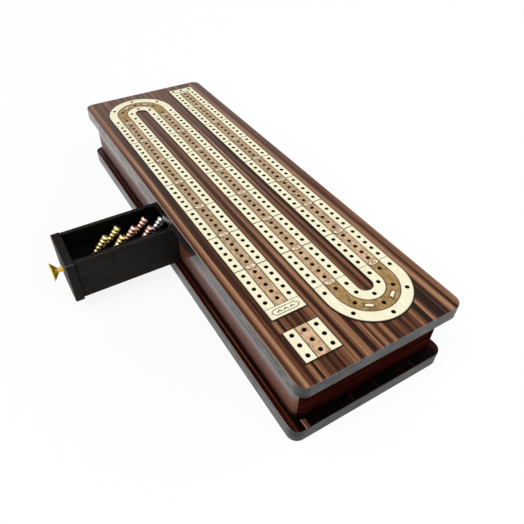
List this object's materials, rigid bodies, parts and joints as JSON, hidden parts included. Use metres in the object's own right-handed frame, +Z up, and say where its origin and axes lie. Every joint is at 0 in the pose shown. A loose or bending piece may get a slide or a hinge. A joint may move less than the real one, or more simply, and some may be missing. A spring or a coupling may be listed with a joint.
{
  "type": "cribbage box with drawer",
  "caption": "Low wooden cribbage box: an inlaid peg-hole track on an overhanging top board, and a small drawer in one long side that holds turned metal pegs.",
  "frame": {"origin": "centre of the bottom board's underside, on the surface that the box stands on", "axes": "+X along the length, towards the end where the track starts; -Y out of the drawer's side; +Z up"},
  "size_m": [0.358, 0.2013, 0.0579],
  "materials": {
    "black_lacquered_board": "gloss lacquer",
    "striped_rosewood_veneer": "satin lacquer",
    "dark_rosewood": "gloss lacquer",
    "plain_inner_wood": "bare",
    "maple_inlay": "satin lacquer",
    "brown_inlay": "satin lacquer",
    "black_satin_wood": "satin stain",
    "polished_brass": "polished",
    "polished_copper": "polished",
    "polished_silver": "polished"
  },
  "bodies": {
    "case": {"bottom_board": "black_lacquered_board", "bottom_veneer": "striped_rosewood_veneer", "front_wall_near": "dark_rosewood", "front_wall_far": "dark_rosewood", "back_wall": "dark_rosewood", "end_wall_near": "dark_rosewood", "end_wall_far": "dark_rosewood", "drawer_guide_near": "plain_inner_wood", "drawer_guide_far": "plain_inner_wood", "drawer_runner_near": "plain_inner_wood", "drawer_runner_far": "plain_inner_wood", "top_board": "black_lacquered_board", "top_veneer": "striped_rosewood_veneer", "start_plate": "maple_inlay", "finish_plate": "maple_inlay", "turn_arrows": "maple_inlay", "number_plates_leg_1": "maple_inlay", "number_plates_leg_2": "maple_inlay", "number_plates_leg_3": "maple_inlay", "leg_1_strip_left": "maple_inlay", "leg_1_strip_middle": "brown_inlay", "leg_1_strip_right": "maple_inlay", "leg_2_strip_left": "maple_inlay", "leg_2_strip_middle": "brown_inlay", "leg_2_strip_right": "maple_inlay", "leg_3_strip_left": "maple_inlay", "leg_3_strip_middle": "brown_inlay", "leg_3_strip_right": "maple_inlay", "far_turn_strip_inner": "maple_inlay", "far_turn_strip_middle": "brown_inlay", "far_turn_strip_outer": "maple_inlay", "near_turn_strip_inner": "maple_inlay", "near_turn_strip_middle": "brown_inlay", "near_turn_strip_outer": "maple_inlay", "counter_strip_left": "maple_inlay", "counter_strip_middle": "brown_inlay", "counter_strip_right": "maple_inlay"},
    "drawer": {"drawer_front": "black_satin_wood", "drawer_side_near": "black_satin_wood", "drawer_side_far": "black_satin_wood", "drawer_back": "black_satin_wood", "peg_block": "black_satin_wood", "knob": "polished_brass", "knob_screw": "polished_brass"},
    "brass_peg_1": {"peg_brass_1": "polished_brass"},
    "brass_peg_2": {"peg_brass_2": "polished_brass"},
    "brass_peg_3": {"peg_brass_3": "polished_brass"},
    "copper_peg_1": {"peg_copper_1": "polished_copper"},
    "copper_peg_2": {"peg_copper_2": "polished_copper"},
    "copper_peg_3": {"peg_copper_3": "polished_copper"},
    "silver_peg_1": {"peg_silver_1": "polished_silver"},
    "silver_peg_2": {"peg_silver_2": "polished_silver"},
    "silver_peg_3": {"peg_silver_3": "polished_silver"}
  },
  "joints": [
    {"name": "drawer_slide", "type": "slide", "parent": "case", "child": "drawer", "axis": [0, -1, 0], "range_m": [-0.0808, 0.012]},
    {"name": "brass_peg_1_lift", "type": "slide", "parent": "drawer", "child": "brass_peg_1", "axis": [0, 0.7071, 0.7071], "range_m": [0, 0.024]},
    {"name": "brass_peg_2_lift", "type": "slide", "parent": "drawer", "child": "brass_peg_2", "axis": [0, 0.7071, 0.7071], "range_m": [0, 0.024]},
    {"name": "brass_peg_3_lift", "type": "slide", "parent": "drawer", "child": "brass_peg_3", "axis": [0, 0.7071, 0.7071], "range_m": [0, 0.024]},
    {"name": "copper_peg_1_lift", "type": "slide", "parent": "drawer", "child": "copper_peg_1", "axis": [0, 0.7071, 0.7071], "range_m": [0, 0.024]},
    {"name": "copper_peg_2_lift", "type": "slide", "parent": "drawer", "child": "copper_peg_2", "axis": [0, 0.7071, 0.7071], "range_m": [0, 0.0112]},
    {"name": "copper_peg_3_lift", "type": "slide", "parent": "drawer", "child": "copper_peg_3", "axis": [0, 0.7071, 0.7071], "range_m": [0, 0.0112]},
    {"name": "silver_peg_1_lift", "type": "slide", "parent": "drawer", "child": "silver_peg_1", "axis": [0, 0.7071, 0.7071], "range_m": [0, 0.0015]},
    {"name": "silver_peg_2_lift", "type": "slide", "parent": "drawer", "child": "silver_peg_2", "axis": [0, 0.7071, 0.7071], "range_m": [0, 0.0015]},
    {"name": "silver_peg_3_lift", "type": "slide", "parent": "drawer", "child": "silver_peg_3", "axis": [0, 0.7071, 0.7071], "range_m": [0, 0.0015]}
  ]
}
